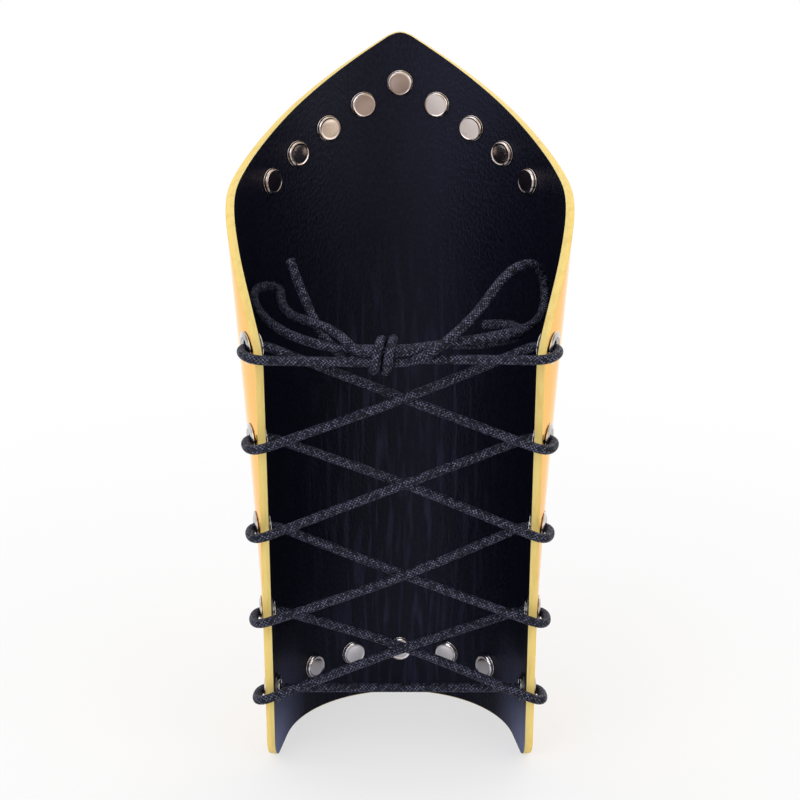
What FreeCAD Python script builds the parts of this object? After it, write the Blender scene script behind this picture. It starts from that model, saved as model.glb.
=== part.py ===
import FreeCAD, Part
import math
import os
import Sketcher
from FreeCAD import Base, Placement, Rotation, Vector

# Laced arm guard, modelled standing on its wrist rim: +Z runs up to the elbow peak, the face looks
# along -Y and the laced opening along +Y. Lengths are in millimetres, angles in degrees.
SIZES = [
    ("guard_height", 246.0),
    ("wrist_front_radius", 44.2),
    ("wrist_front_angle", 80.0),
    ("wrist_flank_run", 19.5),
    ("peak_front_radius", 61.0),
    ("peak_half_angle", 130.0),
    ("board_thickness", 1.5),
    ("lining_thickness", 1.5),
    ("lining_foot_gap", 0.3),
    ("shoulder_height", 158.0),
    ("wrist_corner_radius", 8.0),
    ("rim_overrun", 1.0),
    ("elbow_rivet_inset", 17.5),
    ("elbow_rivet_step", 13.6),
    ("wrist_rivet_height", 17.5),
    ("wrist_rivet_step", 19.3),
    ("rivet_cap_diameter", 9.0),
    ("rivet_cap_edge", 1.15),
    ("rivet_cap_dome", 0.45),
    ("rivet_cap_shoulder", 0.8),
    ("rivet_post_diameter", 3.2),
    ("rivet_bore_diameter", 2.2),
    ("rivet_fit_clearance", 0.1),
    ("eyelet_base_height", 26.5),
    ("eyelet_base_pitch", 31.5),
    ("eyelet_edge_inset", 8.2),
    ("eyelet_bore_diameter", 6.0),
    ("eyelet_wall", 0.5),
    ("eyelet_flange_diameter", 11.0),
    ("eyelet_flange_height", 0.9),
    ("eyelet_lip_width", 0.9),
    ("eyelet_lip_height", 0.6),
    ("eyelet_fit_clearance", 0.15),
    ("eyelet_seat_allowance", 0.4),
    ("washer_diameter", 10.4),
    ("washer_thickness", 0.7),
    ("lace_diameter", 3.2),
    ("lace_clearance", 0.5),
    ("lace_entry_depth", 2.6),
    ("lace_edge_reach", 4.0),
    ("lace_wrap_radius", 4.2),
    ("lace_slack_rise", 4.0),
    ("knot_across", 5.6),
    ("knot_sink", 5.8),
    ("knot_droop", 0.4),
    ("knot_strand_gap", 0.1),
    ("knot_turn_gap", 0.6),
    ("knot_exit_run", 3.5),
]

doc = FreeCAD.newDocument("arm_guard")
sheet = doc.addObject("Spreadsheet::Sheet", "sizes")
for row, (alias, value) in enumerate(SIZES, 1):
    sheet.set(f"A{row}", alias)
    sheet.set(f"B{row}", str(value))
    sheet.setAlias(f"B{row}", alias)
doc.recompute()


def size(alias):
    return float(sheet.get(alias))


height = size("guard_height")
board = size("board_thickness")
lining = size("lining_thickness")
wall = board + lining
overrun = size("rim_overrun")
cap_radius = size("rivet_cap_diameter") / 2

# The sheet is one ruled surface rolled between two sections: at the wrist a round front with
# straight flanks, at the height of the peak a circle, so every generator is a straight line.
wrist_angle = math.radians(size("wrist_front_angle"))
wrist_arc = size("wrist_front_radius") * wrist_angle
wrist_half = wrist_arc + size("wrist_flank_run")
peak_half = size("peak_front_radius") * math.radians(size("peak_half_angle"))
SECTION_SPANS = 32


def wrist_section(arc):
    radius = size("wrist_front_radius")
    angle = min(abs(arc), wrist_arc) / radius
    run = max(abs(arc) - wrist_arc, 0.0)
    across = radius * math.sin(angle) + run * math.cos(angle)
    back = run * math.sin(angle) - radius * math.cos(angle)
    return Vector(math.copysign(across, arc), back, -overrun)


def peak_section(arc):
    radius = size("peak_front_radius")
    return Vector(radius * math.sin(arc / radius), -radius * math.cos(arc / radius), height)


def section_curve(section, half):
    shares = [2 * i / SECTION_SPANS - 1 for i in range(SECTION_SPANS + 1)]
    curve = Part.BSplineCurve()
    curve.interpolate(Points=[section(share * half) for share in shares], Parameters=shares)
    return curve


def ruled_sheet():
    low = section_curve(wrist_section, wrist_half)
    high = section_curve(peak_section, peak_half)
    poles = [list(pair) for pair in zip(low.getPoles(), high.getPoles())]
    surface = Part.BSplineSurface()
    surface.buildFromPolesMultsKnots(
        poles, low.getMultiplicities(), [2, 2], low.getKnots(), [0.0, 1.0],
        False, False, low.Degree, 1)
    return surface


outer = ruled_sheet()


def rise(z):
    return (z + overrun) / (height + overrun)


def half_width(z):
    return wrist_half + (peak_half - wrist_half) * rise(z)


def flat(arc, z):
    """Surface parameters of a point given by its arc length from the middle and its height."""
    return Base.Vector2d(arc / half_width(z), rise(z))


def at(arc, z, off=0.0):
    """Point at that arc length and height, lifted off the outer face along its normal."""
    spot = flat(arc, z)
    return outer.value(spot.x, spot.y) + outer.normal(spot.x, spot.y) * off


def frame_at(arc, z, off=0.0):
    """Placement with local Z along the outward normal and local X towards the near flank edge."""
    spot = flat(arc, z)
    normal = outer.normal(spot.x, spot.y)
    side = 1 if arc >= 0 else -1
    along = at(arc + side * board, z) - at(arc, z)
    return Placement(at(arc, z, off), Rotation(along, Vector(), normal, "ZXY"))


def seat(arc, z, radius, off, inward):
    """How far a flat disc must stand off the curved face so that only its highest points touch."""
    base = frame_at(arc, z, off)
    stretch = size("wrist_front_radius") / (size("wrist_front_radius") + off)
    lift = 0.0
    for step in range(24):
        angle = math.radians(15 * step)
        rim_arc = arc + radius * math.cos(angle) * stretch
        rim_z = z + radius * math.sin(angle)
        local = base.inverse().multVec(at(rim_arc, rim_z, off))
        lift = max(lift, -local.z if inward else local.z)
    return lift


# Outline of the flat sheet, right half: a rounded peak, a straight slope, a full shoulder that
# sweeps into the flank, a straight tapering flank and a rounded wrist corner. Places are shares of
# the sheet's half width at the shoulder's height and of the drop from the peak to that height.
SLOPE_SHARES = [
    (0.0, 0.0), (0.029, 0.010), (0.060, 0.034), (0.169, 0.121), (0.319, 0.242), (0.473, 0.363),
    (0.599, 0.443), (0.724, 0.505), (0.811, 0.585), (0.881, 0.700), (0.932, 0.800), (0.961, 0.875),
    (0.980, 0.935), (0.990, 0.990), (0.9907, 1.030)]
FLANK_START_SHARE = 1.07


def slope_outline():
    shoulder = size("shoulder_height")
    drop = height - shoulder
    reach = half_width(shoulder)
    points = [flat(x * reach, height - y * drop) for x, y in SLOPE_SHARES]
    return points + [Base.Vector2d(1.0, rise(height - FLANK_START_SHARE * drop))]


def corner_outline():
    radius = size("wrist_corner_radius")
    points = []
    for step in range(7):
        angle = math.radians(15 * step)
        z = radius - radius * math.sin(angle)
        inset = radius - radius * math.cos(angle)
        points.append(flat(half_width(z) - inset, z))
    return points


def mirrored(points):
    return [Base.Vector2d(-p.x, p.y) for p in reversed(points)]


def interpolated(points):
    curve = Part.Geom2d.BSplineCurve2d()
    curve.interpolate(points)
    return curve


def sheet_face():
    slope = slope_outline()
    corner = corner_outline()
    foot = Base.Vector2d(corner[-1].x, 0.0)
    foot_left = Base.Vector2d(-corner[-1].x, 0.0)
    slope_left = mirrored(slope)
    corner_left = mirrored(corner)
    line = Part.Geom2d.Line2dSegment
    curves = [
        interpolated(slope), line(slope[-1], corner[0]), interpolated(corner),
        line(corner[-1], foot), line(foot, foot_left), line(foot_left, corner_left[0]),
        interpolated(corner_left), line(corner_left[-1], slope_left[0]), interpolated(slope_left)]
    wire = Part.Wire([curve.toShape(outer) for curve in curves])
    return Part.Face(outer, wire)


# Rivets run along the two slopes of the peak and across the wrist; eyelets run up both flanks as
# far as the shoulder. From one rivet to the next the row falls by this share of the peak's drop.
RIVET_FALL_SHARE = 0.082


def elbow_rivets():
    fall = (height - size("shoulder_height")) * RIVET_FALL_SHARE
    places = []
    for step in range(-4, 5):
        arc = step * size("elbow_rivet_step")
        z = height - size("elbow_rivet_inset") - abs(step) * fall
        places.append((f"elbow_rivet_{place_name(step)}", arc, z))
    return places


def wrist_rivets():
    places = []
    for step in range(-2, 3):
        arc = step * size("wrist_rivet_step")
        places.append((f"wrist_rivet_{place_name(step)}", arc, size("wrist_rivet_height")))
    return places


def place_name(step):
    if step == 0:
        return "middle"
    return f"{'right' if step > 0 else 'left'}_{abs(step)}"


def eyelet_height(index):
    """The lowest gap has its own pitch; the others share what is left up to the shoulder."""
    if index == 0:
        return size("eyelet_base_height")
    second = size("eyelet_base_height") + size("eyelet_base_pitch")
    return second + (index - 1) * (size("shoulder_height") - second) / (EYELET_COUNT - 2)


def eyelet_arc(side, z):
    return side * (half_width(z) - size("eyelet_edge_inset"))


SIDES = [("right", 1), ("left", -1)]
EYELET_COUNT = 5
rivets = elbow_rivets() + wrist_rivets()
eyelets = []
for side_name, side in SIDES:
    for index in range(EYELET_COUNT):
        z = eyelet_height(index)
        eyelets.append((f"{side_name}_{index + 1}", eyelet_arc(side, z), z))


def hole_cutters():
    cutters = []
    rivet_radius = size("rivet_post_diameter") / 2 + size("rivet_fit_clearance")
    barrel = size("eyelet_bore_diameter") / 2 + size("eyelet_wall")
    eyelet_radius = barrel + size("eyelet_fit_clearance")
    for name, arc, z in rivets:
        cutters.append((frame_at(arc, z, -2 * wall), rivet_radius))
    for name, arc, z in eyelets:
        cutters.append((frame_at(arc, z, -2 * wall), eyelet_radius))
    shapes = []
    for placement, radius in cutters:
        cylinder = Part.makeCylinder(radius, 3 * wall)
        cylinder.Placement = placement
        shapes.append(cylinder)
    return shapes


# Tolerance of the offset faces, as a share of the board's thickness.
OFFSET_SHARE = 0.001


def trimmed_layer(face, thickness, cutters, foot):
    """Layer of that thickness inward from the face, cut level at the foot and pierced."""
    layer = face.makeOffsetShape(-thickness, board * OFFSET_SHARE, fill=True)
    reach = 2 * size("peak_front_radius")
    below = Part.makeBox(2 * reach, 2 * reach, reach, Vector(-reach, -reach, foot - reach))
    layer = layer.cut([below] + cutters)
    return layer.Solids[0] if len(layer.Solids) == 1 else layer


nodes = []


def add_shape(label, shape):
    feature = doc.addObject("Part::Feature", label)
    feature.Shape = shape
    feature.Label = label
    feature.Placement = Placement()
    nodes.append(feature)
    return feature


blank = sheet_face()
cutters = hole_cutters()
add_shape("outer_shell", trimmed_layer(blank, board, cutters, 0.0))
lining_face = blank.makeOffsetShape(-board, board * OFFSET_SHARE).Faces[0]
lining_foot = size("lining_foot_gap")
add_shape("inner_lining", trimmed_layer(lining_face, lining, cutters, lining_foot))


# Turned pieces: a half profile whose corners are bound to the sheet, revolved about its own axis.
def number(expression):
    return float(sheet.evalExpression(expression))


def dome_arc(start, end):
    """Arc centred on the axis, from the rim up to the crown."""
    climb = end.y - start.y
    radius = (start.x ** 2 + climb ** 2) / (2 * climb)
    centre = Vector(0, end.y - radius, 0)
    begin = math.atan2(start.y - centre.y, start.x)
    return Part.ArcOfCircle(Part.Circle(centre, Vector(0, 0, 1), radius), begin, math.pi / 2)


def bind_corner(sketch, index, corner):
    """Tie one corner of the profile to the sheet: first its radius, then its level."""
    for kind, axis, expression in (("DistanceX", -2, corner[0]), ("DistanceY", -1, corner[1])):
        if expression == "0":
            sketch.addConstraint(Sketcher.Constraint("PointOnObject", index, 1, axis))
        else:
            value = number(expression)
            tie = sketch.addConstraint(Sketcher.Constraint(kind, -1, 1, index, 1, value))
            sketch.setExpression(f"Constraints[{tie}]", expression)


def turned_body(label, corners, domed, placement):
    """corners are (radius, level) expressions; from corner number domed a dome runs to the next."""
    body = doc.addObject("PartDesign::Body", label)
    body.Label = label
    sketch = body.newObject("Sketcher::SketchObject", label + "_profile")
    plane = [f for f in body.Origin.OriginFeatures if f.Role == "XZ_Plane"][0]
    sketch.AttachmentSupport = [(plane, "")]
    sketch.MapMode = "FlatFace"
    spots = [Vector(number(r), number(level), 0) for r, level in corners]
    for index, start in enumerate(spots):
        end = spots[(index + 1) % len(spots)]
        side = dome_arc(start, end) if index == domed else Part.LineSegment(start, end)
        sketch.addGeometry(side, False)
    for index in range(len(spots)):
        following = (index + 1) % len(spots)
        sketch.addConstraint(Sketcher.Constraint("Coincident", index, 2, following, 1))
    if domed is not None:
        sketch.addConstraint(Sketcher.Constraint("PointOnObject", domed, 3, -2))
    for index, corner in enumerate(corners):
        bind_corner(sketch, index, corner)
    turning = body.newObject("PartDesign::Revolution", label + "_turning")
    turning.Profile = sketch
    turning.ReferenceAxis = (sketch, ["V_Axis"])
    turning.Angle = 360.0
    body.Placement = placement
    nodes.append(body)
    return body


WALL = "sizes.board_thickness + sizes.lining_thickness"
CAP = "sizes.rivet_cap_diameter / 2"
POST = "sizes.rivet_post_diameter / 2"
BORE = "sizes.rivet_bore_diameter / 2"
PIN = "sizes.rivet_bore_diameter / 2 - sizes.rivet_fit_clearance"
CROWN = "sizes.rivet_cap_edge + sizes.rivet_cap_dome"
CAP_TOP = [(CAP, "0"), (CAP, "sizes.rivet_cap_edge"), ("0", CROWN)]

# Outer cap: a flattened dome with a round shoulder, on a hollow post that reaches through both layers.
CAP_CORNERS = [("0", "0"), (BORE, "0"), (BORE, f"-({WALL})"), (POST, f"-({WALL})"), (POST, "0")]
CAP_CORNERS += CAP_TOP

# Inner cap: the same head on a solid pin that is driven into the hollow post.
BACK_CORNERS = [("0", f"-({WALL}) / 2"), (PIN, f"-({WALL}) / 2"), (PIN, "0")] + CAP_TOP


def flipped(placement):
    """The same place seen from inside the guard, so that local Z points into the hollow."""
    return placement.multiply(Placement(Vector(), Rotation(Vector(1, 0, 0), 180)))


def round_shoulder(body):
    """Rounds the edge between a cap's side and its dome."""
    turning = body.Tip
    level = size("rivet_cap_edge")
    for index, edge in enumerate(turning.Shape.Edges, 1):
        ring = edge.Curve
        if not isinstance(ring, Part.Circle):
            continue
        if math.isclose(ring.Radius, cap_radius) and math.isclose(ring.Center.z, level):
            fillet = body.newObject("PartDesign::Fillet", body.Label + "_shoulder")
            fillet.Base = (turning, [f"Edge{index}"])
            fillet.setExpression("Radius", "sizes.rivet_cap_shoulder")
            body.Tip = fillet
            return
    raise RuntimeError(f"{body.Label} has no edge to round")


caps = []
for name, arc, z in rivets:
    lift = seat(arc, z, cap_radius, 0.0, False)
    front = frame_at(arc, z, lift)
    caps.append(turned_body(f"{name}_cap", CAP_CORNERS, len(CAP_CORNERS) - 2, front))
    lift = seat(arc, z, cap_radius, -wall, True)
    back = flipped(frame_at(arc, z, -wall - lift))
    caps.append(turned_body(f"{name}_back", BACK_CORNERS, len(BACK_CORNERS) - 2, back))
doc.recompute()
for body in caps:
    round_shoulder(body)

EYE = "sizes.eyelet_bore_diameter / 2"
BARREL = f"{EYE} + sizes.eyelet_wall"
FLANGE = "sizes.eyelet_flange_diameter / 2"
FLANGE_TOP = "sizes.eyelet_flange_height"
GRIP = f"-({WALL} + sizes.eyelet_seat_allowance + sizes.washer_thickness)"
LIP = f"{BARREL} + sizes.eyelet_lip_width"
LIP_END = f"{GRIP} - sizes.eyelet_lip_height"

# Eyelet: a sloped flange outside, a barrel through the wall and a lip rolled over the washer.
EYELET_CORNERS = [
    (BARREL, "0"), (FLANGE, "0"), (FLANGE, f"{FLANGE_TOP} / 2"), (BARREL, FLANGE_TOP),
    (EYE, FLANGE_TOP), (EYE, LIP_END), (BARREL, LIP_END), (LIP, f"{GRIP} - sizes.eyelet_lip_height / 2"),
    (LIP, GRIP), (BARREL, GRIP)]
WASHER_BORE = f"{BARREL} + sizes.eyelet_fit_clearance"
WASHER_EDGE = "sizes.washer_diameter / 2"
WASHER_CORNERS = [
    (WASHER_BORE, "0"), (WASHER_EDGE, "0"), (WASHER_EDGE, "sizes.washer_thickness / 2"),
    (f"{LIP} + sizes.eyelet_fit_clearance", "sizes.washer_thickness"),
    (WASHER_BORE, "sizes.washer_thickness")]

for name, arc, z in eyelets:
    flange_radius = size("eyelet_flange_diameter") / 2
    lift = seat(arc, z, flange_radius, 0.0, False)
    turned_body(f"eyelet_{name}", EYELET_CORNERS, None, frame_at(arc, z, lift))
    lift = seat(arc, z, size("washer_diameter") / 2, -wall, True)
    back = flipped(frame_at(arc, z, -wall - lift))
    turned_body(f"eyelet_washer_{name}", WASHER_CORNERS, None, back)

doc.recompute()


# The lace is a round cord. Its path is straight runs joined by tangent arcs.
ARC_SHARE = 0.45
lace = size("lace_diameter")


def cord_path(label, points, tightest=None):
    """Wire along the route; tightest caps the arcs of a cord that is pulled round something."""
    edges = []
    radii = []
    start = points[0]
    for before, corner, after in zip(points, points[1:], points[2:]):
        incoming = (corner - before).normalize()
        outgoing = (after - corner).normalize()
        half_turn = incoming.getAngle(outgoing) / 2
        short = min(before.distanceToPoint(corner), corner.distanceToPoint(after))
        radius = ARC_SHARE * short / math.tan(half_turn)
        if tightest is not None and half_turn > math.radians(SHARP_TURN / 2):
            radius = min(radius, tightest)
        trim = radius * math.tan(half_turn)
        enter = corner - incoming * trim
        leave = corner + outgoing * trim
        inside = (outgoing - incoming).normalize()
        middle = corner + inside * (radius / math.cos(half_turn) - radius)
        edges.append(Part.LineSegment(start, enter).toShape())
        edges.append(Part.Arc(enter, middle, leave).toShape())
        radii.append(round(radius, 1))
        start = leave
    edges.append(Part.LineSegment(start, points[-1]).toShape())
    print(label, "radii", radii)
    return Part.Wire(edges)


def tube(label, path):
    """Round tube of the lace's diameter along a path, with its volume compared."""
    radius = lace / 2
    first = path.Edges[0]
    start = first.valueAt(first.FirstParameter)
    ring = Part.Wire([Part.makeCircle(radius, start, first.tangentAt(first.FirstParameter))])
    solid = path.makePipeShell([ring], True, False)
    expected = math.pi * radius ** 2 * path.Length
    print(label, "length", round(path.Length, 1), "volume share", round(solid.Volume / expected, 4))
    return solid


# Turns sharper than this many degrees are where the lace is pulled round a flank edge.
SHARP_TURN = 40.0


def eyelet_pass(side, index):
    """Through an eyelet from the inside, back towards the flank edge and past it."""
    z = eyelet_height(index)
    arc = eyelet_arc(side, z)
    over = size("eyelet_flange_height") + lace / 2 + size("lace_clearance")
    inside = at(arc, z, -wall - size("lace_entry_depth"))
    outside = at(arc, z, over)
    along = frame_at(arc, z).Rotation.multVec(Vector(1, 0, 0))
    beyond = outside + along * (size("eyelet_edge_inset") + size("lace_edge_reach"))
    return [inside, outside, beyond]


# How far each diagonal bows up at its middle, as a share of the lace's slack, lowest pair first.
SLACK_SHARES = [1.0, 0.0, 0.5, 0.0]


def crossing(low_side, index):
    """Middle of a diagonal; the one that rises towards the left lies over the other."""
    over = 1 if low_side > 0 else -1
    low = eyelet_pass(low_side, index)[2]
    high = eyelet_pass(-low_side, index + 1)[0]
    middle = (low + high) / 2
    middle.x = 0.0
    middle.z += size("lace_slack_rise") * SLACK_SHARES[index]
    middle.y += over * (lace + size("lace_clearance")) / 2
    return middle


def climbing_lace(side):
    """From the bottom eyelet of one flank up to the knot, changing flank at every diagonal."""
    points = []
    for index in range(EYELET_COUNT):
        points += eyelet_pass(side, index)
        if index < EYELET_COUNT - 1:
            points.append(crossing(side, index))
            side = -side
    return points


# The knot hangs between the topmost eyelets. Four strands lie two by two in its core, and the lace is
# wound round them. A turn's corners are shares: along by the pitch, across by the half width.
strand_half = (lace + size("knot_strand_gap")) / 2
wrap_half = strand_half + lace + size("knot_strand_gap")
turn_pitch = lace + size("knot_turn_gap")
WRAP_SHARES = [
    (-0.10, -0.5, 1), (0.15, 1, 1), (0.55, 1, -1), (0.70, -1, -1), (0.85, -1, 1), (1.15, 1, 1),
    (1.55, 1, -1), (1.75, -0.5, -1)]
wrap_middle = (WRAP_SHARES[0][0] + WRAP_SHARES[-1][0]) / 2
knot_half = (WRAP_SHARES[-1][0] - wrap_middle) * turn_pitch + lace / 2
top_anchor = eyelet_pass(1, EYELET_COUNT - 1)[2]
knot_back = top_anchor.y - size("knot_sink")
knot_centre = Vector(size("knot_across"), knot_back, top_anchor.z - size("knot_droop"))


def knot_port(side, front, top):
    """Where a strand leaves the knot: on its right or left, at the front or back, top or bottom."""
    return knot_centre + Vector(side * knot_half, front * strand_half, top * strand_half)


def knot_exit(side, front, top):
    """The port and, square to it, the point where the strand is free to bend."""
    port = knot_port(side, front, top)
    return [port, port + Vector(side * size("knot_exit_run"), 0, 0)]


def knot_wrap():
    """Route of the turns round the core."""
    points = []
    for along, front, top in WRAP_SHARES:
        across = (along - wrap_middle) * turn_pitch
        points.append(knot_centre + Vector(across, front * wrap_half, top * wrap_half))
    return points


def knot_core():
    strands = []
    for front in (1, -1):
        for top in (1, -1):
            start = knot_port(-1, front, top)
            strands.append(Part.makeCylinder(lace / 2, 2 * knot_half, start, Vector(1, 0, 0)))
    return strands


def hanging(route):
    return [knot_centre + Vector(*place) for place in route]


def loop(leaving, route, returning):
    return leaving + hanging(route) + list(reversed(returning))


lacing = knot_exit(-1, -1, -1) + list(reversed(climbing_lace(-1)))
lacing += climbing_lace(1) + list(reversed(knot_exit(1, 1, -1)))

# Free stretches of the bow as they hang in the guard, from the middle of the knot.
RIGHT_LOOP = [
    (12.9, -2.0, 5.7), (18.4, -7.2, 7.3), (24.4, -13.4, 7.4), (29.4, -19.6, 7.0),
    (32.4, -25.2, 7.4), (33.9, -30.2, 8.2), (34.6, -34.8, 9.3), (34.8, -39.0, 10.3),
    (37.3, -41.5, 10.9), (40.9, -41.5, 10.9), (43.4, -39.0, 10.3), (43.7, -34.4, 9.4),
    (42.7, -28.6, 8.1), (40.0, -22.0, 6.4), (35.6, -15.6, 4.8), (30.2, -10.6, 3.5),
    (23.8, -6.4, 2.5), (17.0, -3.2, 1.9)]
RIGHT_TAIL = [
    (13.6, -5.6, -1.6), (17.8, -10.4, 0.8), (21.2, -15.6, 4.0), (24.0, -20.0, 8.6),
    (26.6, -22.8, 14.2), (29.0, -23.8, 20.2), (30.6, -23.8, 25.4)]
LEFT_LOOP = [
    (-13.6, 4.2, 1.2), (-20.0, 2.4, 5.2), (-26.0, -2.0, 9.2), (-31.4, -7.6, 13.2),
    (-35.8, -13.6, 17.6), (-40.4, -19.4, 21.6), (-45.6, -24.0, 23.8), (-50.4, -28.0, 22.6),
    (-53.2, -31.0, 18.2), (-54.2, -30.6, 12.6), (-53.6, -25.8, 8.4), (-51.6, -19.6, 6.0),
    (-47.4, -13.8, 5.0), (-41.4, -9.0, 4.8), (-34.0, -5.4, 4.5), (-26.0, -2.6, 4.1),
    (-17.8, -0.2, 3.4)]
LEFT_TAIL = [
    (-15.6, -4.4, 2.0), (-23.6, -7.2, 1.4), (-31.2, -9.6, 0.6), (-38.4, -14.0, 0.2),
    (-44.2, -19.6, -0.1), (-46.6, -26.4, -0.3), (-44.6, -32.8, -0.4), (-39.6, -36.8, -0.9),
    (-34.0, -38.8, -2.0)]

add_shape("lace_lacing", tube("lace_lacing", cord_path("lace_lacing", lacing, size("lace_wrap_radius"))))
wrap = tube("knot wrap", cord_path("knot wrap", knot_wrap(), lace + size("knot_strand_gap")))
add_shape("lace_knot", Part.makeCompound(knot_core() + [wrap]))
BOW = [
    ("lace_loop_right", loop(knot_exit(1, 1, 1), RIGHT_LOOP, knot_exit(1, -1, 1))),
    ("lace_tail_right", knot_exit(1, -1, -1) + hanging(RIGHT_TAIL)),
    ("lace_loop_left", loop(knot_exit(-1, 1, -1), LEFT_LOOP, knot_exit(-1, 1, 1))),
    ("lace_tail_left", knot_exit(-1, -1, 1) + hanging(LEFT_TAIL)),
]
for label, route in BOW:
    add_shape(label, tube(label, cord_path(label, route)))

doc.recompute()

# The origin is the middle of the guard's box on the ground, with the free stretches left out.
fixed = [node for node in nodes if node.Label not in [label for label, route in BOW]]
box = Part.makeCompound([node.Shape for node in fixed]).optimalBoundingBox(True, False)
setback = Vector(-(box.XMin + box.XMax) / 2, -(box.YMin + box.YMax) / 2, 0)
print("box", box, "setback", setback)
for node in nodes:
    node.Placement = Placement(setback, Rotation()).multiply(node.Placement)
doc.recompute()

for obj in doc.Objects:
    if "Invalid" in obj.State or "Error" in obj.State:
        raise RuntimeError(f"{obj.Label} failed: {obj.State}")
for node in nodes:
    if node.Shape.isNull() or not node.Shape.isValid():
        raise RuntimeError(f"{node.Label} has no valid shape")

os.makedirs("parts", exist_ok=True)
for node in nodes:
    node.Shape.exportStep(f"parts/{node.Label}.step")
print(len(nodes), "nodes written")
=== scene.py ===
import math

import bpy
from mathutils import Matrix, Vector


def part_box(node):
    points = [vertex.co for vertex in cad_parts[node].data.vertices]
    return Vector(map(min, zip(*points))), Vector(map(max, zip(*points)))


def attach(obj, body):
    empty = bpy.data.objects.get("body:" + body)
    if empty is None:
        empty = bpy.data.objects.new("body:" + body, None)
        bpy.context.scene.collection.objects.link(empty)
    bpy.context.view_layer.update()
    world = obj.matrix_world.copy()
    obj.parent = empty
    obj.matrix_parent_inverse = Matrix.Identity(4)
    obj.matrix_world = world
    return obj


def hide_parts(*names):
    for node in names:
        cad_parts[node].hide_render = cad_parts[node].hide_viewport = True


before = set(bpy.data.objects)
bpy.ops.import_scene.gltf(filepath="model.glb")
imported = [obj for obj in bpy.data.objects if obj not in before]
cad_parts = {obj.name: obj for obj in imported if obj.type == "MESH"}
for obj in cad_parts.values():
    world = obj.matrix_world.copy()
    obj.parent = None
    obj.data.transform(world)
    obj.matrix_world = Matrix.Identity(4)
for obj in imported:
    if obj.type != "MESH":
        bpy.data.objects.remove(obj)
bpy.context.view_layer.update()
scene = bpy.context.scene

# Laced arm guard: its gold board and lining are rolled from one flat pattern, and its rivets,
# eyelets and lace are set out on that pattern. Sizes are given in millimetres and kept in metres.
MM = 0.001
HEIGHT = 246.0 * MM
WRIST_RADIUS = 44.2 * MM
WRIST_ANGLE = math.radians(80.0)
FLANK_RUN = 19.5 * MM
PEAK_RADIUS = 61.0 * MM
PEAK_ANGLE = math.radians(130.0)
OVERRUN = 1.0 * MM
BOARD = 1.5 * MM
LINING = 1.5 * MM
WALL = BOARD + LINING
LINING_FOOT = 0.3 * MM
SHOULDER = 158.0 * MM
WRIST_CORNER = 8.0 * MM

CAP = 4.5 * MM
CAP_EDGE = 1.15 * MM
CAP_DOME = 0.45 * MM
CAP_SHOULDER = 0.8 * MM
CAP_SIDE = CAP - 0.14 * MM
CAP_BEAD = 0.22 * MM
CAP_RIM = CAP_SHOULDER + 0.2 * MM
CROWN_INSET = 0.15 * MM
CROWN_LIFT = 0.04 * MM
FACE_DOME = 0.10 * MM
FACE_LAP = 0.10 * MM
POST = 1.6 * MM
BORE = 1.1 * MM
PIN = 1.0 * MM

EYE = 3.0 * MM
BARREL = 3.5 * MM
FLANGE = 5.5 * MM
FLANGE_HEIGHT = 0.9 * MM
FLANGE_EDGE = 0.25 * MM
SEAT_ALLOWANCE = 0.4 * MM
WASHER = 5.2 * MM
WASHER_HEIGHT = 0.7 * MM
WASHER_EDGE = 0.2 * MM
LIP = 4.4 * MM
LIP_HEIGHT = 0.6 * MM
FIT = 0.15 * MM
EASE = 0.05 * MM
CLOSE = 0.01 * MM
WELD = 0.002 * MM

LACE = 3.2 * MM
LACE_CLEARANCE = 0.5 * MM
LACE_ENTRY = 2.6 * MM
LACE_REACH = 4.0 * MM
LACE_SLACK = 4.0 * MM
LACE_END = 0.12 * LACE

# The rolled surface
WRIST_ARC = WRIST_RADIUS * WRIST_ANGLE
WRIST_HALF = WRIST_ARC + FLANK_RUN
PEAK_HALF = PEAK_RADIUS * PEAK_ANGLE
SLOPE_STEP = 0.0005
SEAT_PLACES = 24

# The guard stands where the frame has it: its front rests on the shell's lowest Y.
SETBACK = Vector((0.0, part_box("outer_shell")[0][1] + PEAK_RADIUS, 0.0))


def wrist_section(arc):
    """Section just below the foot: a round front with a straight run on each side."""
    angle = min(abs(arc), WRIST_ARC) / WRIST_RADIUS
    run = max(abs(arc) - WRIST_ARC, 0.0)
    across = WRIST_RADIUS * math.sin(angle) + run * math.cos(angle)
    back = run * math.sin(angle) - WRIST_RADIUS * math.cos(angle)
    return Vector((math.copysign(across, arc), back, -OVERRUN))


def peak_section(arc):
    """Section at the height of the peak: one round arc."""
    angle = arc / PEAK_RADIUS
    return Vector((PEAK_RADIUS * math.sin(angle), -PEAK_RADIUS * math.cos(angle), HEIGHT))


def rise(z):
    """Height as a share of the way from the wrist section to the peak section."""
    return (z + OVERRUN) / (HEIGHT + OVERRUN)


def half_width(z):
    """Half of the flat pattern's width at a height, measured along the roll."""
    return WRIST_HALF + (PEAK_HALF - WRIST_HALF) * rise(z)


def on_face(share, up):
    """Point of the gold face; share runs from -1 to 1 across the sheet, up from 0 to 1."""
    return wrist_section(share * WRIST_HALF).lerp(peak_section(share * PEAK_HALF), up)


def outward(share, up):
    """Direction that points off the gold face there."""
    across = on_face(share + SLOPE_STEP, up) - on_face(share - SLOPE_STEP, up)
    along = peak_section(share * PEAK_HALF) - wrist_section(share * WRIST_HALF)
    return across.cross(along).normalized()


def rolled(arc, z, off=0.0):
    """Where a place of the flat pattern ends up, lifted off the gold face."""
    share = arc / half_width(z)
    return on_face(share, rise(z)) + outward(share, rise(z)) * off


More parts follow.
